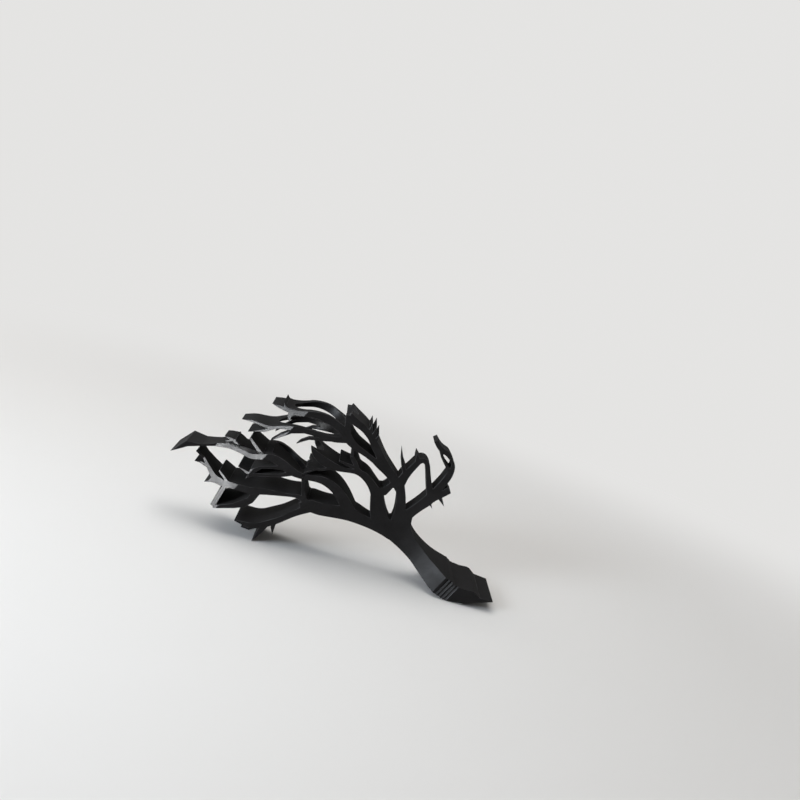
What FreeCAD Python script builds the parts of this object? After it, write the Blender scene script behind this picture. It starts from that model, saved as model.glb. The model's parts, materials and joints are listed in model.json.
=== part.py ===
import FreeCAD
import Part
import math
import os
import Sketcher

# Balancing wine bottle holder: a tree that leans over, printed in one piece.
#
# The tree is two drawings crossed. Seen from the front it is a bare tree with thin boughs. Seen from
# the side it is a trunk that flares to a broad root and a crown with notched edges. Only what lies
# inside both drawings is left, so each bough is a plate that runs from the front to the back of the
# tree. A round bore through the crown takes the held neck. The tree is drawn upright, with its
# trunk along +Z, the front drawing in XZ and the side drawing in YZ, and its root cut off along the
# ground's line. Then it leans over, and at last it tips forward on to its lowest twig, as it lies when
# nothing holds it in balance.

doc = FreeCAD.newDocument("tree_bottle_holder")

# Driving sizes, in millimetres and degrees

sheet = doc.addObject("Spreadsheet::Sheet", "Sizes")

SIZES = [
    ("lean_angle", 46, "the held neck's slope over the ground, and so the trunk's lean from upright"),
    ("neck_diameter", 29.5, "the neck that the bore takes"),
    ("neck_clearance", 2, "room round the neck, on each side"),
    ("bore_height", 148, "the bore's middle over the root's toe, along the trunk"),
    ("bore_wall", 5, "thickness in front of the bore and behind it"),
    ("neck_reach", 12, "how far the held neck goes in, past the trunk's middle line"),
    ("crown_span", 129.5, "the crown's reach across the trunk, from tip to tip"),
    ("twig_width", 1.6, "the finest twig, which sets the width of every limb"),
    ("trunk_width", 12.5, "the trunk across, seen from the front"),
    ("waist_depth", 16, "the trunk from front to back at its waist"),
    ("waist_height", 66, "the waist over the root's toe"),
    ("fork_depth", 28, "the trunk from front to back where the boughs leave it"),
    ("fork_height", 105, "that place over the root's toe"),
    ("foot_length", 19.5, "the root's flat on the ground, from its toe to its heel"),
    ("root_depth", 50, "the root from front to back"),
    ("root_height", 20, "top of the root's straight side"),
    ("toe_rise", 10.5, "top of the toe's plain face, where the ribs start"),
    ("toe_undercut", 2.5, "how far the root draws in below the toe"),
    ("rib_width", 1.2, "each groove between the root's ribs"),
    ("shoulder_rise", 9, "the crown's broadest place, over the bore's middle"),
    ("notch_rise", 36, "the crown's notch, over the bore's middle"),
    ("notch_depth", 19, "the crown from front to back at the notch"),
    ("summit_rise", 52, "the crown's upper corner, over the bore's middle"),
    ("summit_depth", 34, "the crown from front to back at that corner"),
    ("summit_straight", 8, "the crown's straight side over that corner"),
]
for row, (alias, value, meaning) in enumerate(SIZES, start=1):
    sheet.set(f"A{row}", alias)
    sheet.set(f"B{row}", str(value))
    sheet.setAlias(f"B{row}", alias)
    sheet.set(f"C{row}", meaning)
doc.recompute()

RIBS = 4


def size(alias):
    """A driving size from the sheet."""
    return float(sheet.get(alias))


# The front drawing. Each limb names the limb that it grows from, and is a line of stations (across, up,
# width) from there to its tip, drawn at the bore height, crown span, twig width and trunk width named
# here. A width of 0 is a sharp tip. Boughs have rounded bends, and twigs straight runs.

DRAWN_BORE_HEIGHT = 148
DRAWN_SPAN = 129.5
DRAWN_TWIG = 1.6
DRAWN_TRUNK = 12.5
FLAT_CORNER = 0.02
SHORTEST_RUN = 0.1

BOUGHS = {
    "left_bough": ("trunk", [(-1, 62, 10.5), (-3.5, 70.5, 8.8), (-7, 78, 6.5), (-10.5, 91, 9.4),
        (-15.5, 99.5, 9.1), (-20.5, 107.5, 8.4), (-23.5, 115, 8.4), (-28, 118, 6.4)]),
    "low_bough": ("left_bough", [(-22, 113, 7.7), (-30, 116, 4.5), (-36, 119, 3.9), (-42.5, 121.5, 3.9),
        (-49.5, 125.5, 4.5), (-55.5, 129.5, 3.9), (-59, 134.5, 3.2), (-61, 140, 1.9), (-62.5, 143, 0)]),
    "middle_bough": ("left_bough", [(-21, 119, 5.1), (-22.5, 123, 3.2), (-27, 129, 1.9), (-31.5, 136, 3.2),
        (-36, 143, 4.5), (-41, 148.5, 5.1), (-43.5, 155, 3.8), (-46.5, 160, 3.9), (-50, 165, 3.9),
        (-52.5, 169, 2.6), (-56.5, 172, 0)]),
    "high_bough": ("left_bough", [(-7, 92, 8.4), (-5.5, 101.5, 7.1), (-3.5, 111.5, 6.1), (-5, 120, 5.1),
        (-8.5, 125.5, 3.8), (-12.5, 132, 3.8), (-14, 138.5, 5.7), (-14, 146, 5.7), (-15, 153, 5.1),
        (-19, 158.5, 3.8), (-24.5, 163, 3.2), (-27, 170.5, 3.2), (-30, 177, 3.2), (-35, 182.5, 2.3),
        (-39.5, 187.5, 1.6), (-43, 191.5, 1.4)]),
    "inner_bough": ("trunk", [(-2, 68.5, 10.5), (0.5, 76, 11.1), (6, 82.5, 9.4), (11, 87, 8.1),
        (13.5, 94.5, 5.1), (15, 101.5, 5.1), (14, 107.5, 3.8), (10.5, 112, 2.6), (8, 116.5, 3.8),
        (5.5, 123, 5.7), (4.5, 130, 5.7), (5, 136.5, 3.8), (6.5, 140.5, 0)]),
    "head": ("trunk", [(3.5, 62, 11.1), (12, 67.5, 7.2), (17.5, 72, 6.4), (22, 76, 5.7), (24.5, 81, 6.8),
        (26.5, 90.5, 5.5), (27.5, 99.5, 7), (27.5, 104.5, 5.7)]),
    "top_bough": ("head", [(26, 91, 5.8), (26.5, 103.5, 3.5), (26, 112.5, 3.5), (25, 119, 4.4),
        (25.5, 125.5, 5.7), (28, 131, 5.7), (27.5, 138.5, 5), (26.5, 146, 5.3), (23, 153.5, 4.1),
        (18, 159, 3.1), (14.5, 163.5, 3.2), (12.5, 168, 2.5), (10.5, 172, 1.9), (8.5, 176.5, 0)]),
    "top_limb": ("top_bough", [(24, 127, 5.1), (20, 132, 3.8), (17, 138, 3.5), (14, 145, 3.5),
        (10.5, 152, 3.5), (7, 157.5, 2.8), (2, 163, 1.9), (-3, 167, 1.9), (-6, 172.5, 1.6),
        (-8.5, 178, 1.3), (-13, 183.5, 0)]),
    "side_bough": ("head", [(25.5, 86, 6.4), (29, 98, 5.1), (31.5, 105, 5.1), (34.5, 111.5, 5.1),
        (36.5, 117, 4.4), (37.5, 124, 4.1), (37, 130.5, 5), (37, 136.5, 5.6)]),
    "arch": ("head", [(25, 80, 6.5), (31.5, 82.5, 5.8), (36, 82.5, 4.5), (41, 82.5, 3.9), (45.5, 82.5, 3.9),
        (48, 80.5, 3.5), (47.5, 77, 3.2), (43, 72, 2.9), (38, 66.5, 3.6), (34, 61, 5.2), (31, 59, 6.5)]),
    "right_bough": ("trunk", [(6, 63.5, 9.8), (15, 63, 6.5), (23.5, 61.5, 5.9), (31.5, 60, 7.2),
        (39, 60.5, 5.2), (46.5, 61, 4.5), (53, 62, 4.5), (58, 64, 2.6), (60, 67, 2.1), (61.5, 72.5, 3.2),
        (60.5, 76, 3.5), (61, 80, 3.2), (62.5, 84, 2.9)]),
}

TWIGS = {
    "low_tip": ("low_bough", [(-50.5, 126.5, 3.9), (-57.5, 126, 3.2), (-65.5, 125.5, 0)]),
    "low_spike": ("low_bough", [(-45.5, 123, 3.2), (-50, 122, 1.9), (-53.5, 118.5, 0)]),
    "low_twig": ("low_bough", [(-55, 129, 2.6), (-60.5, 132.5, 1.9), (-63, 137, 0)]),
    "cross_strut": ("high_bough", [(-12.5, 129.5, 2.6), (-18, 125, 2.2), (-23.5, 118.5, 3.2)]),
    "middle_branch": ("middle_bough", [(-40.5, 143, 5.1), (-45.5, 144.5, 4.8), (-50.5, 146.5, 5.1),
        (-55.5, 150, 3.2), (-59.5, 154, 2.6), (-64.5, 159, 1.9)]),
    "middle_post": ("middle_bough", [(-47.5, 163, 1.9), (-55.5, 161.5, 3.2), (-64.5, 159.5, 3.2)]),
    "middle_hook": ("middle_bough", [(-47.5, 161.5, 2.6), (-46.5, 166.5, 1.6), (-46, 171.5, 1.3)]),
    "hanging_arm": ("middle_bough", [(-50.5, 164.5, 4.5), (-51.5, 171, 3.9), (-50, 177, 2.6),
        (-48, 184, 1.6), (-47, 190.5, 1.2)]),
    "hanging_spur": ("hanging_arm", [(-50, 178, 1.9), (-51.5, 183, 1.3), (-53.5, 187, 0)]),
    "hanging_heel": ("hanging_arm", [(-52, 171, 2.6), (-55.5, 171.5, 1.3), (-58.5, 173.5, 0)]),
    "brace": ("high_bough", [(-15.5, 136, 3.8), (-20.5, 141.5, 2.2), (-27, 149, 1.9), (-32, 155, 1.9),
        (-37, 156.5, 0)]),
    "brace_twig": ("high_bough", [(-14.5, 141.5, 3.8), (-20, 149, 1.9), (-24.5, 154, 1.9),
        (-30.5, 156.5, 3.2), (-34, 156.5, 1.3)]),
    "brace_tip": ("brace", [(-31, 155, 1.9), (-33.5, 159, 1.6), (-35, 165, 0)]),
    "high_blade": ("high_bough", [(-42, 190.5, 1.3), (-47, 198, 3.9), (-57.5, 202.5, 0)]),
    "high_twig": ("high_bough", [(-19.5, 158, 3.2), (-18, 164, 2.2), (-17, 171.5, 1.6)]),
    "high_fork": ("high_bough", [(-26.5, 170.5, 2.6), (-26, 175, 1.9), (-26, 178.5, 1.6)]),
    "high_barb": ("high_bough", [(-30.5, 177.5, 2.6), (-30, 181, 1.6), (-24.5, 177, 1)]),
    "high_tick": ("high_fork", [(-26.5, 178, 1.9), (-27.5, 181.5, 1.3), (-28.5, 184, 0)]),
    "bridge": ("inner_bough", [(12, 89, 5.8), (15.5, 85, 5.5), (21, 84.5, 3.9), (26, 83.5, 5.8)]),
    "inner_lace": ("inner_bough", [(14.5, 104, 3.8), (15, 110.5, 2.6), (13, 115.5, 1.8), (11.5, 121, 1)]),
    "inner_stub": ("inner_bough", [(15, 107, 3.2), (17, 112, 2.9), (19, 117, 2.5)]),
    "lace_twig": ("inner_bough", [(4.5, 118.5, 1.9), (-1, 125.5, 1.6), (-5, 133.5, 1.6)]),
    "lace_tip": ("lace_twig", [(-2.5, 127, 1.3), (-9.5, 131.5, 1.3)]),
    "top_drop": ("top_bough", [(14.5, 163.5, 3.2), (11, 163.5, 2.8), (9, 161.5, 0.9)]),
    "top_spike": ("top_bough", [(13.5, 165.5, 2.5), (13, 169.5, 1.6), (15, 172, 0)]),
    "limb_tip": ("top_limb", [(-0.5, 164.5, 1.9), (-7, 168.5, 1.6), (-15.5, 175.5, 0)]),
    "limb_branch": ("top_limb", [(11.5, 149.5, 3.1), (5, 156, 2), (-1.5, 159, 1.6), (-8.5, 161.5, 0)]),
    "limb_lace": ("top_limb", [(22, 128.5, 3.2), (16, 136.5, 2.2), (9.5, 145, 2), (5, 147.5, 1.6),
        (1.5, 148.5, 0)]),
    "collar": ("top_bough", [(26.5, 129, 5), (32, 132.5, 4.1), (38, 136.5, 5)]),
    "side_spike_high": ("side_bough", [(37.5, 119.5, 3.8), (40, 120, 2.2), (43, 122, 0)]),
    "side_spike_middle": ("side_bough", [(35.5, 115, 3.8), (40.5, 117, 2.2), (44, 119, 0)]),
    "side_spike_low": ("side_bough", [(35.5, 112.5, 3.2), (38.5, 113, 1.9), (41.5, 114.5, 0)]),
    "arch_tip": ("arch", [(44, 83, 3.2), (46, 84.5, 2.6), (48, 87, 0)]),
    "spike": ("arch", [(32.5, 84.5, 3.2), (37, 89.5, 1.8), (42.5, 95, 0)]),
    "right_loop": ("right_bough", [(53.5, 63, 2.6), (55.5, 69, 1.4), (57.5, 74, 1.4), (61, 76.5, 2.6)]),
    "right_stub": ("right_bough", [(32.5, 58.5, 5.8), (38.5, 57, 4.2), (45, 55, 4.2)]),
    "stub_spike": ("right_stub", [(36.5, 56, 2.6), (35, 50, 0)]),
    "right_barb": ("right_bough", [(30.5, 58.5, 2.6), (28.5, 54.5, 0)]),
}

LIMBS = {**BOUGHS, **TWIGS}

# The trunk and root (across, up), seen from the front: up the left side, and down the right side to the
# heel, where the ground's line takes over

TRUNK_LEFT = [(-7, 10.3), (-8.5, 20), (-7.5, 31), (-5.3, 42), (-5.3, 55), (-6.5, 67), (-11.3, 81.1)]
TRUNK_RIGHT = [(16, 60), (9, 55.5), (6, 46), (4.4, 32), (4.7, 20)]
ROOT_RIGHT = [(4.7, 20), (5.6, 16.3), (5.1, 12.2), (7.2, 6.1), (10.2, 1), (10.6, -1), (9.9, -5.6)]


def drawn(across, up):
    """A drawn point at the sizes in the sheet."""
    wider = size("crown_span") / DRAWN_SPAN
    taller = size("bore_height") / DRAWN_BORE_HEIGHT
    return FreeCAD.Vector(across * wider, 0, up * taller)


def straight(points):
    """Straight edges from point to point."""
    return [Part.LineSegment(a, b).toShape() for a, b in zip(points, points[1:])]


def rounded(points):
    """Edges from point to point, each corner between them rounded as far as its shorter side allows."""
    edges = []
    start = points[0]
    for before, at, after in zip(points, points[1:], points[2:]):
        to_before, to_after = before - at, after - at
        room = min(to_before.Length, to_after.Length) / 2
        to_before.normalize()
        to_after.normalize()
        bisector = to_before + to_after
        if bisector.Length < FLAT_CORNER:
            continue
        half_angle = to_before.getAngle(to_after) / 2
        enters, leaves = at + to_before * room, at + to_after * room
        reach = room / math.cos(half_angle) - room * math.tan(half_angle)
        middle = at + bisector.normalize() * reach
        if (enters - start).Length < SHORTEST_RUN:
            enters = start
        else:
            edges.append(Part.LineSegment(start, enters).toShape())
        edges.append(Part.Arc(enters, middle, leaves).toShape())
        start = leaves
    return edges + straight([start, points[-1]])


def middle_line(name):
    """A limb's middle line. It starts on the middle line of the limb that carries it."""
    carrier, stations = LIMBS[name]
    points = [drawn(across, up) for across, up, _ in stations]
    if carrier in LIMBS:
        line = Part.makePolygon(middle_line(carrier))
        points[0] = line.distToShape(Part.Vertex(points[0]))[1][0][0]
    return points


def limb_face(name):
    """The outline of one limb: its two sides, and a cut or pointed tip."""
    stations = LIMBS[name][1]
    side = rounded if name in BOUGHS else straight
    gain = size("twig_width") / DRAWN_TWIG
    middle = middle_line(name)
    left, right = [], []
    for index, point in enumerate(middle):
        before = middle[max(index - 1, 0)]
        after = middle[min(index + 1, len(middle) - 1)]
        along = (after - before).normalize()
        half = FreeCAD.Vector(-along.z, 0, along.x) * (stations[index][2] * gain / 2)
        left.append(point + half)
        right.append(point - half)
    edges = side(left) + side(right) + straight([right[0], left[0]])
    if stations[-1][2] > 0:
        edges += straight([left[-1], right[-1]])
    return Part.Face(Part.Wire(Part.__sortEdges__(edges)))


def trunk_face():
    """The trunk and root: the toe and the heel lie on the ground's line, which slopes by the lean."""
    gain = size("trunk_width") / DRAWN_TRUNK

    def widened(points):
        return [drawn(across * gain, up) for across, up in points]

    lean = math.radians(size("lean_angle"))
    toe = FreeCAD.Vector(0, 0, 0)
    heel = FreeCAD.Vector(math.cos(lean), 0, -math.sin(lean)) * size("foot_length")
    left, right, root = widened(TRUNK_LEFT), widened(TRUNK_RIGHT), widened(ROOT_RIGHT)
    edges = rounded(left) + straight([left[-1], right[0]]) + rounded(right)
    edges += straight(root + [heel, toe, left[0]])
    return Part.Face(Part.Wire(Part.__sortEdges__(edges)))


def joined(faces):
    """One face for all the overlapping ones, inside the edges that only a single piece of them has."""
    pieces = faces[0].fuse(faces[1:]).Faces
    sides = {}
    for piece in pieces:
        for edge in piece.Edges:
            sides.setdefault(edge.hashCode(), []).append(edge)
    border = [found[0] for found in sides.values() if len(found) == 1]
    rings = [Part.Wire(run) for run in Part.sortEdges(border)]
    return Part.makeFace(rings, "Part::FaceMakerBullseye")


front_drawing = doc.addObject("Part::Feature", "front_drawing")
front_drawing.Shape = joined([trunk_face()] + [limb_face(name) for name in LIMBS])

front_slab = doc.addObject("Part::Extrusion", "front_slab")
front_slab.Base = front_drawing
front_slab.DirMode = "Custom"
front_slab.Dir = FreeCAD.Vector(0, 1, 0)
front_slab.Symmetric = True
front_slab.Solid = True
front_slab.setExpression("LengthFwd", "Sizes.root_depth + Sizes.neck_diameter")

# The side drawing: half of it is a sketch of lines and two arcs, padded across the crown and mirrored.
# Each corner is half of a depth, at a height, and both are sums of sheet sizes.

BORE_DIAMETER = {"neck_diameter": 1, "neck_clearance": 2}
CROWN_DEPTH = {**BORE_DIAMETER, "bore_wall": 2}
CORNERS = {
    "below": ({"root_depth": 1, "toe_undercut": -2}, {"root_height": -1}),
    "toe": ({"root_depth": 1}, {}),
    "root_top": ({"root_depth": 1}, {"root_height": 1}),
    "waist": ({"waist_depth": 1}, {"waist_height": 1}),
    "fork": ({"fork_depth": 1}, {"fork_height": 1}),
    "shoulder": (CROWN_DEPTH, {"bore_height": 1, "shoulder_rise": 1}),
    "notch": ({"notch_depth": 1}, {"bore_height": 1, "notch_rise": 1}),
    "summit": ({"summit_depth": 1}, {"bore_height": 1, "summit_rise": 1}),
    "end": ({"summit_depth": 1}, {"bore_height": 1, "summit_rise": 1, "summit_straight": 1}),
}
ORIGIN = (-1, 1)


def total(parts):
    """The sum of some sheet sizes, each times its factor."""
    return sum(size(alias) * factor for alias, factor in parts.items())


def formula(parts, share=1):
    """The same sum as an expression of the sheet."""
    return " + ".join(f"Sizes.{alias} * {factor * share}" for alias, factor in parts.items())


def corner(name):
    """A corner of the side drawing, in the sketch's plane."""
    depth, height = CORNERS[name]
    return FreeCAD.Vector(total(depth) / 2, total(height), 0)


def flare(edge, level):
    """An arc from edge in to the waist, upright where it meets the waist."""
    waist, far = corner("waist"), corner(edge)
    out, along = far.x - waist.x, far.y - waist.y
    radius = (out * out + along * along) / (2 * out)
    swing = math.asin(along / radius)
    middle = FreeCAD.Vector(waist.x + radius, level, 0)
    circle = Part.Circle(middle, FreeCAD.Vector(0, 0, 1), radius)
    return Part.ArcOfCircle(circle, math.pi - max(swing, 0), math.pi - min(swing, 0))


def pin_across(sketch, geometry, point, depth):
    """Holds a point of the sketch at half of a depth."""
    value = total(depth) / 2
    number = sketch.addConstraint(Sketcher.Constraint("DistanceX", *ORIGIN, geometry, point, value))
    sketch.setExpression(f"Constraints[{number}]", formula(depth, 0.5))


def pin_up(sketch, geometry, point, height):
    """Holds a point of the sketch at a height, over the toe or below it."""
    value = total(height)
    if value == 0:
        sketch.addConstraint(Sketcher.Constraint("PointOnObject", geometry, point, -1))
    elif value > 0:
        number = sketch.addConstraint(Sketcher.Constraint("DistanceY", *ORIGIN, geometry, point, value))
        sketch.setExpression(f"Constraints[{number}]", formula(height))
    else:
        number = sketch.addConstraint(Sketcher.Constraint("DistanceY", geometry, point, *ORIGIN, -value))
        sketch.setExpression(f"Constraints[{number}]", formula(height, -1))


side_body = doc.addObject("PartDesign::Body", "side_body")
origin_part = {feature.Role: feature for feature in side_body.Origin.OriginFeatures}
sketch = side_body.newObject("Sketcher::SketchObject", "side_drawing")
sketch.AttachmentSupport = [(origin_part["YZ_Plane"], "")]
sketch.MapMode = "FlatFace"

axis_low = FreeCAD.Vector(0, corner("below").y, 0)
axis_high = FreeCAD.Vector(0, corner("end").y, 0)
names = list(CORNERS)
line = {}
line["floor"] = sketch.addGeometry(Part.LineSegment(axis_low, corner("below")))
for low, high in zip(names, names[1:]):
    if high == "waist":
        line[high] = sketch.addGeometry(flare(low, size("waist_height")))
    elif low == "waist":
        line[high] = sketch.addGeometry(flare(high, size("waist_height")))
    else:
        line[high] = sketch.addGeometry(Part.LineSegment(corner(low), corner(high)))
line["roof"] = sketch.addGeometry(Part.LineSegment(corner("end"), axis_high))
line["axis"] = sketch.addGeometry(Part.LineSegment(axis_high, axis_low))

# In a sketch, 1 is the start of an edge, 2 its end and 3 an arc's middle. An arc here runs the other
# way round: it starts at its upper end.

order = list(line)
for first, second in zip(order, order[1:] + order[:1]):
    leaves = 1 if first in ("waist", "fork") else 2
    enters = 2 if second in ("waist", "fork") else 1
    sketch.addConstraint(Sketcher.Constraint("Coincident", line[first], leaves, line[second], enters))
for name, (depth, height) in CORNERS.items():
    arrives = 1 if name in ("waist", "fork") else 2
    edge = line["floor"] if name == "below" else line[name]
    pin_across(sketch, edge, arrives, depth)
    pin_up(sketch, edge, arrives, height)
for name in ("waist", "fork"):
    pin_up(sketch, line[name], 3, {"waist_height": 1})
for point in (1, 2):
    sketch.addConstraint(Sketcher.Constraint("PointOnObject", line["axis"], point, -2))
sketch.addConstraint(Sketcher.Constraint("Horizontal", line["floor"]))
sketch.addConstraint(Sketcher.Constraint("Horizontal", line["roof"]))

pad = side_body.newObject("PartDesign::Pad", "half_slab")
pad.Profile = sketch
pad.SideType = "Symmetric"
pad.setExpression("Length", "Sizes.crown_span * 1.5")
mirrored = side_body.newObject("PartDesign::Mirrored", "side_slab")
mirrored.Originals = [pad]
mirrored.MirrorPlane = (origin_part["XZ_Plane"], [""])
side_body.Tip = mirrored
doc.recompute()

# Grooves between the root's ribs: square bars on edge, let into the front and back of the root

bars = []
for side in (-1, 1):
    for index in range(RIBS):
        bar = doc.addObject("Part::Box", "rib_groove")
        bar.setExpression("Length", "Sizes.crown_span")
        bar.setExpression("Width", "Sizes.rib_width")
        bar.setExpression("Height", "Sizes.rib_width")
        bar.Placement.Rotation = FreeCAD.Rotation(FreeCAD.Vector(1, 0, 0), 45)
        bar.setExpression("Placement.Base.x", "-Sizes.crown_span / 2")
        bar.setExpression("Placement.Base.y", f"{side} * Sizes.root_depth / 2")
        rise = f"(Sizes.root_height - Sizes.toe_rise) * {index / RIBS}"
        bar.setExpression("Placement.Base.z", f"Sizes.toe_rise + {rise} - Sizes.rib_width * sqrt(2) / 2")
        bars.append(bar)

# The crossing of the two drawings, less the grooves and the bore

crossed = doc.addObject("Part::MultiCommon", "crossed_drawings")
crossed.Shapes = [front_slab, side_body]

grooves = doc.addObject("Part::MultiFuse", "rib_grooves")
grooves.Shapes = bars

ribbed = doc.addObject("Part::Cut", "ribbed_tree")
ribbed.Base = crossed
ribbed.Tool = grooves

bore = doc.addObject("Part::Cylinder", "neck_bore")
bore.setExpression("Radius", formula(BORE_DIAMETER, 0.5))
bore.setExpression("Height", "Sizes.neck_reach + Sizes.neck_clearance + Sizes.crown_span")
bore.Placement.Rotation = FreeCAD.Rotation(FreeCAD.Vector(0, 1, 0), 90)
bore.setExpression("Placement.Base.x", "-Sizes.neck_reach - Sizes.neck_clearance")
bore.setExpression("Placement.Base.z", "Sizes.bore_height")

upright = doc.addObject("Part::Cut", "upright_tree")
upright.Base = ribbed
upright.Tool = bore
upright.Refine = True
doc.recompute()

# How it rests. Leaning, the tree stands on its root only while its load holds it in balance. Unloaded, it
# tips towards its crown, corner by corner round its outline, until its weight lies between two points on
# the ground.


def half_ring(run):
    """The corners that stay when a line is stretched round one side of a run of points."""
    ring = []
    for x, z in run:
        while len(ring) > 1:
            (ax, az), (bx, bz) = ring[-2:]
            if (bx - ax) * (z - az) > (bz - az) * (x - ax):
                break
            ring.pop()
        ring.append((x, z))
    return ring[:-1]


def tip_angle(shape):
    """How far the leaning shape turns, in degrees, before it rests on two corners of its outline."""
    points = sorted({(round(point.x, 3), round(point.z, 3)) for point in shape.tessellate(0.1)[0]})
    ring = half_ring(points) + half_ring(points[::-1])
    ring.reverse()
    lowest = min(range(len(ring)), key=lambda index: (ring[index][1], -ring[index][0]))
    ring = ring[lowest:] + ring[:lowest + 1]
    weight = shape.CenterOfMass
    for (ax, az), (bx, bz) in zip(ring, ring[1:]):
        length = math.hypot(bx - ax, bz - az)
        along = ((weight.x - ax) * (bx - ax) + (weight.z - az) * (bz - az)) / length
        if 0 < along < length:
            return math.degrees(math.atan2(bz - az, ax - bx))
    raise ValueError("the tree has no side to rest on")


across = FreeCAD.Vector(0, 1, 0)
holder = doc.addObject("Part::Feature", "tree_holder")
leaning = upright.Shape.Solids[0].copy()
leaning.rotate(FreeCAD.Vector(), across, -size("lean_angle"))
resting = leaning.copy()
resting.rotate(FreeCAD.Vector(), across, -tip_angle(leaning))
box = resting.optimalBoundingBox()
resting.translate(FreeCAD.Vector(-box.Center.x, -box.Center.y, -box.ZMin))
holder.Shape = resting
doc.recompute()

# Nothing is written unless every step has worked

for step in doc.Objects:
    if "Invalid" in step.State or "Error" in step.State:
        raise RuntimeError(f"{step.Label} has failed: {step.State}")
if len(upright.Shape.Solids) != 1 or holder.Shape.isNull() or not holder.Shape.isValid():
    raise RuntimeError("the tree holder isn't one valid solid")

os.makedirs("parts", exist_ok=True)
holder.Shape.exportStep(f"parts/{holder.Label}.step")
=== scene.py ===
"""The looks of a balancing bottle holder: a bare tree printed in one piece of near-black plastic.

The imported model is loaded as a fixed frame, in metres. The tree's own mesh is copied, merged and given soft
edges, and the copy stands for the CAD solid. The holder is stored as it lies by itself, tipped on to its
lowest twig, while the photograph's camera saw it standing on its foot. So the camera and the lamps are
placed in the frame of the standing tree and turned with it.
"""
import json
import logging
import math
from dataclasses import dataclass
from enum import Enum

import bmesh
import bpy
from mathutils import Matrix, Vector

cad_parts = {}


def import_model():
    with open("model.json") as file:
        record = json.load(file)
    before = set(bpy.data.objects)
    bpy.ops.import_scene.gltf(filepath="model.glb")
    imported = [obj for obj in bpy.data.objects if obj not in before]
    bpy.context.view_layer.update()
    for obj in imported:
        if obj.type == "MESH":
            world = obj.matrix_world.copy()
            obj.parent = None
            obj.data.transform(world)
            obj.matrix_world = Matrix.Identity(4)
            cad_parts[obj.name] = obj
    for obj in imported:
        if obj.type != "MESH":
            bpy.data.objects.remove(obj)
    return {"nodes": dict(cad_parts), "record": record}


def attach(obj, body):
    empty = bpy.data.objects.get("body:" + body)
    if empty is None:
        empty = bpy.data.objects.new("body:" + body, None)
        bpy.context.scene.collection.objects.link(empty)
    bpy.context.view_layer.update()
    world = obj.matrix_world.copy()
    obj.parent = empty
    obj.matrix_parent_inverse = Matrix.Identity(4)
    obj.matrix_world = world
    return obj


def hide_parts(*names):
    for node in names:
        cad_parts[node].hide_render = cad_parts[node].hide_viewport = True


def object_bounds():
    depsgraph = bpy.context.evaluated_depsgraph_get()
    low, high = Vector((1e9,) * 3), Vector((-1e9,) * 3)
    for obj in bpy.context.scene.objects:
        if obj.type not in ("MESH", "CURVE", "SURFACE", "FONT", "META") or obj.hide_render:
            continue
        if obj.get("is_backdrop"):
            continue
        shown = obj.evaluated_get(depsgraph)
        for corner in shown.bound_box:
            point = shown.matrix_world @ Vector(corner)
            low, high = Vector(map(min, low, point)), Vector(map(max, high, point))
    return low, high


log = logging.getLogger("tree_holder")

MM = 0.001

# What the input of a node may be given: another node's output, or a plain value.
Fed = bpy.types.NodeSocket | Vector | tuple[float, ...] | float


class Finish(Enum):
    """Names of the materials."""

    PLASTIC = "black_printed_plastic"
    GROUND = "pale_ground"


class Mask(Enum):
    """Names of the values that the tree's mesh carries for its material."""

    EDGE = "soft_edge"


class Kind(Enum):
    """Kinds of value that a node group takes and gives."""

    VECTOR = "NodeSocketVector"
    COLOUR = "NodeSocketColor"
    NUMBER = "NodeSocketFloat"


@dataclass(frozen=True)
class StandingPose:
    """Where the tree goes when it stands on its foot, as a turn and a move of the stored tree.

    Attributes:
        turn: Turn of the stored tree about Y, away from standing, in radians.
        toe: Place of the foot's front corner in the stored tree.
        trunk: The way up along the trunk in the stored tree.
    """

    turn: float
    toe: Vector
    trunk: Vector

    @classmethod
    def from_record(cls, record: dict, foot_length: float) -> "StandingPose":
        """Reads the pose from the mounts on the foot's underside and in the crown.

        Args:
            record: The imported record.
            foot_length: Length of the foot's underside.

        Returns:
            The pose.
        """
        mounts = {mount["name"]: mount for mount in record["mounts"]}
        down = Vector(mounts["foot"]["axis"])
        turn = math.atan2(down.x, -down.z)
        along = Vector((math.cos(turn), 0.0, math.sin(turn)))
        across = Vector(mounts["neck_bore"]["axis"])
        trunk = Vector((-across.z, 0.0, across.x))
        return cls(turn, Vector(mounts["foot"]["pos_m"]) - along * foot_length / 2, trunk)

    @property
    def matrix(self) -> Matrix:
        """The way from the standing tree's frame to the stored one."""
        return Matrix.Translation(self.toe) @ Matrix.Rotation(-self.turn, 4, "Y")


def new_object(name: str, shape: bmesh.types.BMesh, material: bpy.types.Material) -> bpy.types.Object:
    """Makes an object of a finished shape.

    Args:
        name: The object's name.
        shape: The shape, which is used up.
        material: The object's material.

    Returns:
        The object.
    """
    mesh = bpy.data.meshes.new(name)
    shape.to_mesh(mesh)
    shape.free()
    mesh.materials.append(material)
    made = bpy.data.objects.new(name, mesh)
    bpy.context.scene.collection.objects.link(made)
    return made


def turned_to(look: Vector) -> Matrix:
    """The turn of a camera or a lamp that looks a given way, with its top up."""
    return look.to_track_quat("-Z", "Y").to_matrix().to_4x4()


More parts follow.
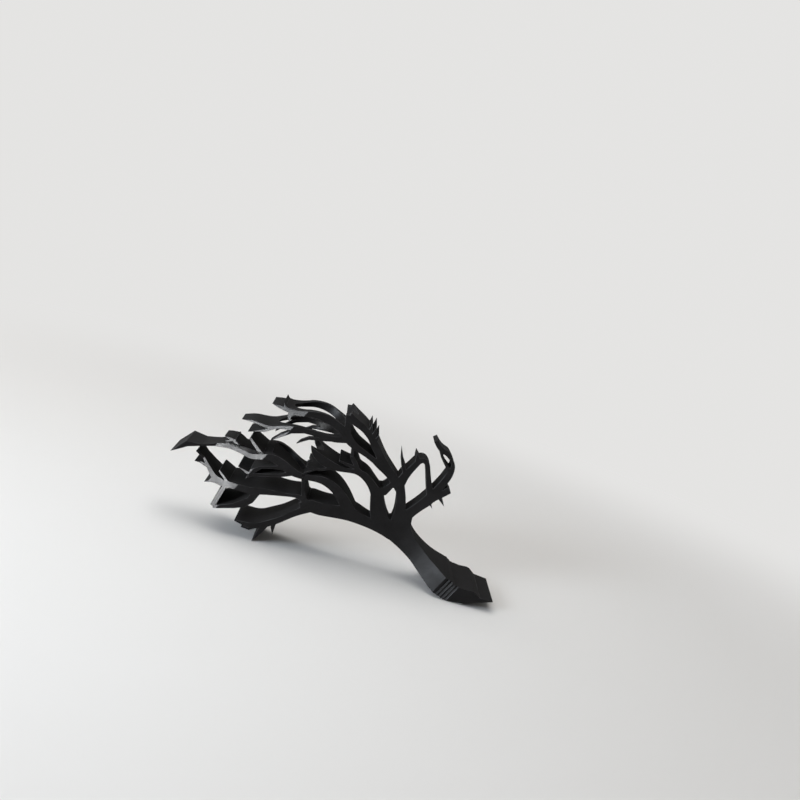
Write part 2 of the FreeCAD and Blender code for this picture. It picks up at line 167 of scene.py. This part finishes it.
@dataclass(frozen=True)
class Wiring:
    """Adds nodes to one node tree and joins them up.

    Attributes:
        tree: The node tree.
    """

    tree: bpy.types.NodeTree

    @classmethod
    def for_group(cls, name: str, takes: dict[str, Kind], gives: dict[str, Kind]) -> "Wiring":
        """Starts a node group with named inputs and outputs.

        Args:
            name: The group's name.
            takes: The inputs by name.
            gives: The outputs by name.

        Returns:
            The wiring of the new group.
        """
        tree = bpy.data.node_groups.new(name, "ShaderNodeTree")
        for way, sockets in (("INPUT", takes), ("OUTPUT", gives)):
            for label, kind in sockets.items():
                tree.interface.new_socket(label, in_out=way, socket_type=kind.value)
        return cls(tree)

    def feed(self, socket: bpy.types.NodeSocket, value: Fed) -> None:
        """Links an input to another node's output, or sets it where the value is a plain one.

        Args:
            socket: The input.
            value: The output or the plain value.
        """
        if isinstance(value, bpy.types.NodeSocket):
            self.tree.links.new(value, socket)
        else:
            socket.default_value = value

    def add(
        self, kind: str, values: dict[str, Fed] | None = None, group: bpy.types.ShaderNodeTree | None = None
    ) -> bpy.types.Node:
        """Adds a node.

        Args:
            kind: Blender's name of the node.
            values: What its inputs are fed, by their names.
            group: The node group that it places, if it places one.

        Returns:
            The node.
        """
        node = self.tree.nodes.new(kind)
        if group:
            node.node_tree = group
        for label, value in (values or {}).items():
            self.feed(node.inputs[label], value)
        return node

    def calculate(self, operation: str, *values: Fed, vectors: bool = False) -> bpy.types.NodeSocket:
        """Adds a calculation whose result is a number.

        Args:
            operation: Blender's name of the calculation.
            values: What it calculates with.
            vectors: Whether it calculates with vectors.

        Returns:
            The socket of the result.
        """
        node = self.tree.nodes.new("ShaderNodeVectorMath" if vectors else "ShaderNodeMath")
        node.operation = operation
        for socket, value in zip(node.inputs, values):
            self.feed(socket, value)
        return node.outputs["Value"]

    def stretch(
        self, value: bpy.types.NodeSocket, band: tuple[float, float], gently: bool = False
    ) -> bpy.types.NodeSocket:
        """Stretches a band of a value to go from 0 to 1, and stops there.

        Args:
            value: The socket of the value.
            band: The values that become 0 and 1.
            gently: Whether the way starts and ends slowly.

        Returns:
            The socket of the result.
        """
        node = self.add("ShaderNodeMapRange", {"Value": value, "From Min": band[0], "From Max": band[1]})
        node.interpolation_type = "SMOOTHERSTEP" if gently else "LINEAR"
        return node.outputs["Result"]

    def blend(self, share: Fed, first: Fed, second: Fed, colours: bool = False) -> bpy.types.NodeSocket:
        """Blends two numbers or two colours.

        Args:
            share: How much of the second is in the blend.
            first: The first of them.
            second: The second of them.
            colours: Whether they are colours.

        Returns:
            The socket of the blend.
        """
        node = self.tree.nodes.new("ShaderNodeMix")
        node.data_type = "RGBA" if colours else "FLOAT"
        for label, value in (("Factor", share), ("A", first), ("B", second)):
            self.feed(node.inputs[label], value)
        return node.outputs["Result"]

    def blend_shaders(
        self, share: bpy.types.NodeSocket, first: bpy.types.NodeSocket, second: bpy.types.NodeSocket
    ) -> bpy.types.NodeSocket:
        """Blends two shaders.

        Args:
            share: How much of the second is in the blend.
            first: The first shader.
            second: The second shader.

        Returns:
            The socket of the blend.
        """
        node = self.tree.nodes.new("ShaderNodeMixShader")
        for socket, value in zip(node.inputs, (share, first, second)):
            self.feed(socket, value)
        return node.outputs["Shader"]

    def seen_directly(self) -> bpy.types.NodeSocket:
        """Tells what the camera sees straight, in a mirror or through glass from the light on other things.

        Returns:
            The socket of a number, 1 for what is seen and 0 for plain light.
        """
        path = self.tree.nodes.new("ShaderNodeLightPath")
        seen = path.outputs["Is Camera Ray"]
        for label in ("Is Glossy Ray", "Is Transmission Ray"):
            seen = self.calculate("MAXIMUM", seen, path.outputs[label])
        return seen


@dataclass(frozen=True)
class MottledSkin:
    """Slow changes of colour and gloss over a surface.

    Attributes:
        cloud: Size of a cloud of dust or handling.
        cloud_detail: How finely a cloud's rim is broken up.
        cloud_rough: How strong its finer parts are.
        speck: Size of a speck.
        speck_detail: How finely a speck's rim is broken up.
        speck_share: How much of the pattern is specks.
        band: Values of the pattern where the darkest places end and where the palest begin.
    """

    cloud: float = 14 * MM
    cloud_detail: float = 4.0
    cloud_rough: float = 0.6
    speck: float = 1.2 * MM
    speck_detail: float = 2.0
    speck_share: float = 0.3
    band: tuple[float, float] = (0.35, 0.65)

    def group(self) -> bpy.types.ShaderNodeTree:
        """Makes the node group.

        Returns:
            A group with the inputs Vector, Deep, Worn, Roughness Low and Roughness High, and the outputs
            Color and Roughness.
        """
        wiring = Wiring.for_group(
            "mottled_skin",
            takes={
                "Vector": Kind.VECTOR,
                "Deep": Kind.COLOUR,
                "Worn": Kind.COLOUR,
                "Roughness Low": Kind.NUMBER,
                "Roughness High": Kind.NUMBER,
            },
            gives={"Color": Kind.COLOUR, "Roughness": Kind.NUMBER},
        )
        source = wiring.add("NodeGroupInput").outputs
        result = wiring.add("NodeGroupOutput").inputs
        clouds = wiring.add("ShaderNodeTexNoise", {
            "Vector": source["Vector"],
            "Scale": 1 / self.cloud,
            "Detail": self.cloud_detail,
            "Roughness": self.cloud_rough,
        })
        specks = wiring.add("ShaderNodeTexNoise", {
            "Vector": source["Vector"],
            "Scale": 1 / self.speck,
            "Detail": self.speck_detail,
        })
        pattern = wiring.blend(self.speck_share, clouds.outputs["Fac"], specks.outputs["Fac"])
        share = wiring.stretch(pattern, self.band)
        colour = wiring.blend(share, source["Deep"], source["Worn"], colours=True)
        roughness = wiring.blend(share, source["Roughness Low"], source["Roughness High"])
        wiring.feed(result["Color"], colour)
        wiring.feed(result["Roughness"], roughness)
        return wiring.tree


@dataclass(frozen=True)
class PrintLayers:
    """The height of fine stacked layers, with a little grain.

    Attributes:
        grain_detail: How finely the grain is broken up.
        grain_share: How much of the height is grain.
    """

    grain_detail: float = 2.0
    grain_share: float = 0.5

    def group(self) -> bpy.types.ShaderNodeTree:
        """Makes the node group.

        Returns:
            A group with the inputs Vector, Stack (the way that the layers are stacked), Layer and Grain, in
            metres, and the output Height, from 0 to 1.
        """
        wiring = Wiring.for_group(
            "print_layers",
            takes={
                "Vector": Kind.VECTOR,
                "Stack": Kind.VECTOR,
                "Layer": Kind.NUMBER,
                "Grain": Kind.NUMBER,
            },
            gives={"Height": Kind.NUMBER},
        )
        source = wiring.add("NodeGroupInput").outputs
        result = wiring.add("NodeGroupOutput").inputs
        height = wiring.calculate("DOT_PRODUCT", source["Vector"], source["Stack"], vectors=True)
        layers = wiring.calculate("DIVIDE", height, source["Layer"])
        wave = wiring.calculate("COSINE", wiring.calculate("MULTIPLY", layers, 2 * math.pi))
        rounded = wiring.stretch(wave, (-1.0, 1.0))
        grain = wiring.add("ShaderNodeTexNoise", {
            "Vector": source["Vector"],
            "Scale": wiring.calculate("DIVIDE", 1.0, source["Grain"]),
            "Detail": self.grain_detail,
        })
        wiring.feed(result["Height"], wiring.blend(self.grain_share, rounded, grain.outputs["Fac"]))
        return wiring.tree


@dataclass(frozen=True)
class PrintedPlastic:
    """Near-black plastic with a satin skin, fine printed layers and paler edges, which are partly wear and
    partly a painted highlight for glints.

    Attributes:
        deep: Colour of the plastic where it is darkest.
        worn: Colour where it is handled and dusty.
        edge: Colour of a paler edge, partly wear and partly a painted highlight that stands in for glints on
            the edges.
        wear_and_glint_patches: Size of the paler stretches along an edge.
        wear_and_glint_detail: How finely their ends are broken up.
        wear_and_glint_band: Values of their noise where the paler edge starts and where it is full.
        layer: Height of one printed layer.
        relief: Height of the layers and the grain together.
        grain: Size of the fine grain.
        rough_low: Roughness of the smoothest places.
        rough_high: Roughness of the dullest places.
        rough_aslant: Roughness where the skin is seen aslant, which keeps its flanks dull and dark.
        aslant_blend: Blend of the facing value that tells how far aslant the skin is seen.
        aslant_band: Facing values where the skin starts to get duller and where it is dullest.
        ior: Index of refraction.
        specular: How strongly the skin mirrors, where 0.5 is plain plastic.
    """

    deep: tuple[float, float, float] = (0.0036, 0.0033, 0.0035)
    worn: tuple[float, float, float] = (0.0078, 0.0073, 0.0076)
    # Pale edge colour: partly edge wear, partly a painted highlight that stands in for glints on the edges.
    edge: tuple[float, float, float] = (0.085, 0.083, 0.086)
    wear_and_glint_patches: float = 9 * MM
    wear_and_glint_detail: float = 5.0
    wear_and_glint_band: tuple[float, float] = (0.38, 0.62)
    layer: float = 0.25 * MM
    relief: float = 0.012 * MM
    grain: float = 0.45 * MM
    rough_low: float = 0.3
    rough_high: float = 0.47
    rough_aslant: float = 1.0
    aslant_blend: float = 0.5
    aslant_band: tuple[float, float] = (0.3, 0.75)
    ior: float = 1.46
    specular: float = 0.16

    def build(self, pose: StandingPose) -> bpy.types.Material:
        """Makes the material.

        Args:
            pose: The pose, whose trunk is the way that the layers are stacked.

        Returns:
            The material.
        """
        material = bpy.data.materials.new(Finish.PLASTIC.value)
        material.use_nodes = True
        wiring = Wiring(material.node_tree)
        place = wiring.add("ShaderNodeTexCoord").outputs["Object"]
        mottles = {
            "Vector": place,
            "Deep": (*self.deep, 1.0),
            "Worn": (*self.worn, 1.0),
            "Roughness Low": self.rough_low,
            "Roughness High": self.rough_high,
        }
        skin = wiring.add("ShaderNodeGroup", mottles, group=MottledSkin().group())
        shader = wiring.tree.nodes["Principled BSDF"].inputs
        wiring.feed(shader["Base Color"], self.wear_and_glint_edges(wiring, place, skin.outputs["Color"]))
        wiring.feed(shader["Roughness"], self.dulled(wiring, skin.outputs["Roughness"]))
        wiring.feed(shader["Normal"], self.layered(wiring, place, pose.trunk))
        shader["IOR"].default_value = self.ior
        shader["Specular IOR Level"].default_value = self.specular
        return material

    def wear_and_glint_edges(
        self, wiring: Wiring, place: bpy.types.NodeSocket, colour: bpy.types.NodeSocket
    ) -> bpy.types.NodeSocket:
        """Makes stretches of the softened edges paler, partly as wear and partly as a painted highlight that
        stands in for glints.

        Args:
            wiring: The material's wiring.
            place: The socket of the place on the skin.
            colour: The socket of the skin's own colour.

        Returns:
            The socket of the colour.
        """
        edges = wiring.add("ShaderNodeAttribute")
        edges.attribute_name = Mask.EDGE.value
        stretches = wiring.add("ShaderNodeTexNoise", {
            "Vector": place,
            "Scale": 1 / self.wear_and_glint_patches,
            "Detail": self.wear_and_glint_detail,
        })
        patches = wiring.stretch(stretches.outputs["Fac"], self.wear_and_glint_band)
        # Blends in the pale edge colour, which is partly wear and partly a painted highlight for edge glints.
        share = wiring.calculate("MULTIPLY", edges.outputs["Fac"], patches)
        return wiring.blend(share, colour, (*self.edge, 1.0), colours=True)

    def dulled(self, wiring: Wiring, roughness: bpy.types.NodeSocket) -> bpy.types.NodeSocket:
        """Makes the skin duller where it is seen aslant.

        Args:
            wiring: The material's wiring.
            roughness: The socket of the skin's own roughness.

        Returns:
            The socket of the roughness.
        """
        facing = wiring.add("ShaderNodeLayerWeight", {"Blend": self.aslant_blend})
        aslant = wiring.stretch(facing.outputs["Facing"], self.aslant_band)
        return wiring.blend(aslant, roughness, self.rough_aslant)

    def layered(self, wiring: Wiring, place: bpy.types.NodeSocket, stack: Vector) -> bpy.types.NodeSocket:
        """Raises the printed layers and the grain.

        Args:
            wiring: The material's wiring.
            place: The socket of the place on the skin.
            stack: The way that the layers are stacked.

        Returns:
            The socket of the normal.
        """
        sizes = {"Vector": place, "Stack": stack, "Layer": self.layer, "Grain": self.grain}
        layers = wiring.add("ShaderNodeGroup", sizes, group=PrintLayers().group())
        bump = wiring.add("ShaderNodeBump", {"Distance": self.relief, "Height": layers.outputs["Height"]})
        return bump.outputs["Normal"]


@dataclass(frozen=True)
class PaleGround:
    """Matt off-white floor that takes shadows near the tree and fades to the plain backdrop further out.

    Attributes:
        shade: Colour of the floor.
        rough: Its roughness.
        specular: How strongly it mirrors, where 0.5 is plain plastic.
        backdrop: Colour of the backdrop.
        fade: How far from the middle the fade starts, and how far out the floor is all backdrop.
    """

    shade: tuple[float, float, float] = (0.80, 0.79, 0.775)
    rough: float = 0.9
    specular: float = 0.2
    backdrop: tuple[float, float, float] = (0.78, 0.775, 0.765)
    fade: tuple[float, float] = (0.22, 0.75)

    def build(self) -> bpy.types.Material:
        """Makes the material.

        Returns:
            The material.
        """
        material = bpy.data.materials.new(Finish.GROUND.value)
        material.use_nodes = True
        wiring = Wiring(material.node_tree)
        shader = wiring.tree.nodes["Principled BSDF"]
        shader.inputs["Base Color"].default_value = (*self.shade, 1.0)
        shader.inputs["Roughness"].default_value = self.rough
        shader.inputs["Specular IOR Level"].default_value = self.specular

        place = wiring.add("ShaderNodeTexCoord").outputs["Object"]
        far = wiring.stretch(wiring.calculate("LENGTH", place, vectors=True), self.fade, gently=True)
        share = wiring.calculate("MULTIPLY", far, wiring.seen_directly())
        plain = wiring.add("ShaderNodeEmission", {"Color": (*self.backdrop, 1.0)})
        both = wiring.blend_shaders(share, shader.outputs["BSDF"], plain.outputs["Emission"])
        wiring.feed(wiring.tree.nodes["Material Output"].inputs["Surface"], both)
        return material


@dataclass
class TreeHolder:
    """The tree itself.

    Attributes:
        node: Name of the CAD node.
        foot_length: Length of the foot's underside.
        weld: Points nearer than this are one point.
        flat: Faces that turn less than this are one face.
        crease: Edges that turn more than this are softened.
        soften: Width of a softened edge on each of its faces.
        soft_steps: Number of faces across a softened edge.
        broad_weight: How far the shading follows the broad faces, from 1 to 100.
    """

    node: str = "tree_holder"
    foot_length: float = 19.5 * MM
    weld: float = 0.004 * MM
    flat: float = math.radians(0.6)
    crease: float = math.radians(32)
    soften: float = 0.22 * MM
    soft_steps: int = 2
    broad_weight: int = 100

    def build(self, cad: bpy.types.Object, material: bpy.types.Material) -> bpy.types.Object:
        """Copies the CAD mesh, merges it and dresses the copy.

        Args:
            cad: The CAD node's object.
            material: The tree's material.

        Returns:
            The piece that stands for the node.
        """
        shape = bmesh.new()
        shape.from_mesh(cad.data)
        bmesh.ops.remove_doubles(shape, verts=shape.verts, dist=self.weld)
        bmesh.ops.dissolve_limit(
            shape, angle_limit=self.flat, verts=shape.verts, edges=shape.edges, use_dissolve_boundaries=False
        )
        self.soften_edges(shape)
        for face in shape.faces:
            face.smooth = True
        piece = new_object("tree", shape, material)
        broad = piece.modifiers.new("broad_faces_stay_flat", "WEIGHTED_NORMAL")
        broad.mode = "FACE_AREA"
        broad.weight = self.broad_weight
        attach(piece, "root")
        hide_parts(self.node)
        return piece

    def soften_edges(self, shape: bmesh.types.BMesh) -> None:
        """Rounds the sharp edges a little, and marks the middle of each rounding.

        Args:
            shape: The tree's mesh.
        """
        sharp = [edge for edge in shape.edges if edge.calc_face_angle(0.0) > self.crease]
        made = bmesh.ops.bevel(
            shape,
            geom=sharp,
            offset=self.soften,
            offset_type="OFFSET",
            segments=self.soft_steps,
            profile=0.5,
            affect="EDGES",
            clamp_overlap=False,
            material=-1,
        )
        rounding = set(made["faces"])
        mask = shape.verts.layers.float.new(Mask.EDGE.value)
        for vert in shape.verts:
            vert[mask] = float(all(face in rounding for face in vert.link_faces))


@dataclass
class Ground:
    """A wide, round floor.

    Attributes:
        radius: Radius of the floor.
        sides: Number of its sides.
    """

    radius: float = 12.0
    sides: int = 96

    def build(self, material: bpy.types.Material, level: float) -> bpy.types.Object:
        """Makes the floor.

        Args:
            material: The floor's material.
            level: Height of the floor.

        Returns:
            The object.
        """
        shape = bmesh.new()
        bmesh.ops.create_circle(shape, cap_ends=True, radius=self.radius, segments=self.sides)
        bmesh.ops.translate(shape, verts=shape.verts, vec=(0.0, 0.0, level))
        ground = new_object("ground", shape, material)
        ground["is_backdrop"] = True
        return ground


@dataclass(frozen=True)
class SoftLamp:
    """One soft lamp, placed in the standing tree's frame.

    Attributes:
        name: The lamp's name.
        place: Where it hangs.
        aim: What it looks at.
        width: Width of its square.
        power: Its power in watts.
        spread: How wide its beam is, in degrees.
        tint: Its colour.
        gleam_only: Whether it only shows as a gleam and lights no matt surface.
    """

    name: str
    place: tuple[float, float, float]
    aim: tuple[float, float, float]
    width: float
    power: float
    spread: float = 180.0
    tint: tuple[float, float, float] = (1.0, 1.0, 1.0)
    gleam_only: bool = False

    def build(self, pose: StandingPose) -> bpy.types.Object:
        """Makes the lamp.

        Args:
            pose: The standing pose.

        Returns:
            The lamp.
        """
        data = bpy.data.lights.new(self.name, "AREA")
        data.size = self.width
        data.energy = self.power
        data.spread = math.radians(self.spread)
        data.color = self.tint
        lamp = bpy.data.objects.new(self.name, data)
        look = Vector(self.aim) - Vector(self.place)
        lamp.matrix_world = pose.matrix @ Matrix.Translation(self.place) @ turned_to(look)
        lamp.visible_camera = False
        lamp.visible_diffuse = not self.gleam_only
        bpy.context.scene.collection.objects.link(lamp)
        return lamp


@dataclass
class Studio:
    """Camera, lamps and the light all round.

    Attributes:
        place: The camera's place in the standing tree's frame.
        pitch: How far the camera looks down, in radians.
        yaw: How far it looks to the right, in radians.
        lens: Focal length in millimetres.
        sensor: Width of the camera's sensor in millimetres.
        sight: How near and how far the camera sees.
        sky: Colour of the light all round.
        sky_strength: Its strength.
        backdrop: Colour that the camera sees all round.
        lamps: The lamps.
    """

    place: tuple[float, float, float] = (-0.052785, -0.680, 0.243538)
    pitch: float = math.radians(9.6)
    yaw: float = math.radians(1.07)
    lens: float = 48.15
    sensor: float = 36.0
    sight: tuple[float, float] = (0.01, 50.0)
    sky: tuple[float, float, float] = (1.0, 0.99, 0.975)
    sky_strength: float = 0.17
    backdrop: tuple[float, float, float] = PaleGround.backdrop
    lamps: tuple[SoftLamp, ...] = (
        SoftLamp(
            name="key_lamp",
            place=(-0.72, -0.76, 0.55),
            aim=(-0.15, 0.0, 0.11),
            width=0.4,
            power=2.0,
            spread=75.0,
            tint=(0.84, 0.915, 1.0),
        ),
        SoftLamp(
            name="gleam_lamp",
            place=(-0.389, -0.262, 0.192),
            aim=(-0.138, -0.018, 0.096),
            width=0.08,
            power=0.06,
            spread=20.0,
            gleam_only=True,
        ),
        SoftLamp(
            name="top_lamp",
            place=(-0.1, 0.15, 1.7),
            aim=(-0.05, 0.0, 0.0),
            width=1.8,
            power=23.0,
            tint=(1.0, 0.99, 0.975),
        ),
        SoftLamp(
            name="rim_lamp",
            place=(-0.8, 0.7, 0.22),
            aim=(-0.1, 0.0, 0.1),
            width=0.4,
            power=0.8,
            spread=90.0,
        ),
    )

    def build(self, pose: StandingPose) -> None:
        """Makes the camera, the lamps and the world.

        Args:
            pose: The standing pose.
        """
        scene = bpy.context.scene
        scene.camera = self.camera(pose)
        for lamp in self.lamps:
            lamp.build(pose)
            log.info("%s: %.2f W", lamp.name, lamp.power)
        scene.world = self.surroundings()
        scene.view_settings.view_transform = "Standard"

    def camera(self, pose: StandingPose) -> bpy.types.Object:
        """Makes the photograph's camera.

        Args:
            pose: The standing pose.

        Returns:
            The camera.
        """
        ahead = Vector((
            math.sin(self.yaw) * math.cos(self.pitch),
            math.cos(self.yaw) * math.cos(self.pitch),
            -math.sin(self.pitch),
        ))
        data = bpy.data.cameras.new("camera")
        data.lens = self.lens
        data.sensor_width = self.sensor
        data.clip_start, data.clip_end = self.sight
        camera = bpy.data.objects.new("camera", data)
        camera.matrix_world = pose.matrix @ Matrix.Translation(self.place) @ turned_to(ahead)
        bpy.context.scene.collection.objects.link(camera)
        return camera

    def surroundings(self) -> bpy.types.World:
        """The soft light all round, which the camera sees as the plain backdrop.

        Returns:
            The world.
        """
        world = bpy.data.worlds.new("surroundings")
        world.use_nodes = True
        wiring = Wiring(world.node_tree)
        light = wiring.tree.nodes["Background"]
        light.inputs["Color"].default_value = (*self.sky, 1.0)
        light.inputs["Strength"].default_value = self.sky_strength
        plain = wiring.add("ShaderNodeBackground", {"Color": (*self.backdrop, 1.0)})
        seen = wiring.seen_directly()
        both = wiring.blend_shaders(seen, light.outputs["Background"], plain.outputs["Background"])
        wiring.feed(wiring.tree.nodes["World Output"].inputs["Surface"], both)
        return world


def main() -> None:
    """Builds the studio, the tree and the floor."""
    logging.basicConfig(level=logging.INFO, format="%(name)s %(message)s")
    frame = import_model()
    cad_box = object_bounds()
    holder = TreeHolder()
    pose = StandingPose.from_record(frame["record"], holder.foot_length)
    Studio().build(pose)
    tree = holder.build(frame["nodes"][holder.node], PrintedPlastic().build(pose))
    log.info("%s: %d faces", tree.name, len(tree.data.polygons))
    floor = Ground()
    ground = floor.build(PaleGround().build(), cad_box[0][2])
    log.info("%s: %.0f m wide", ground.name, 2 * floor.radius)


if __name__ == "__main__":
    main()
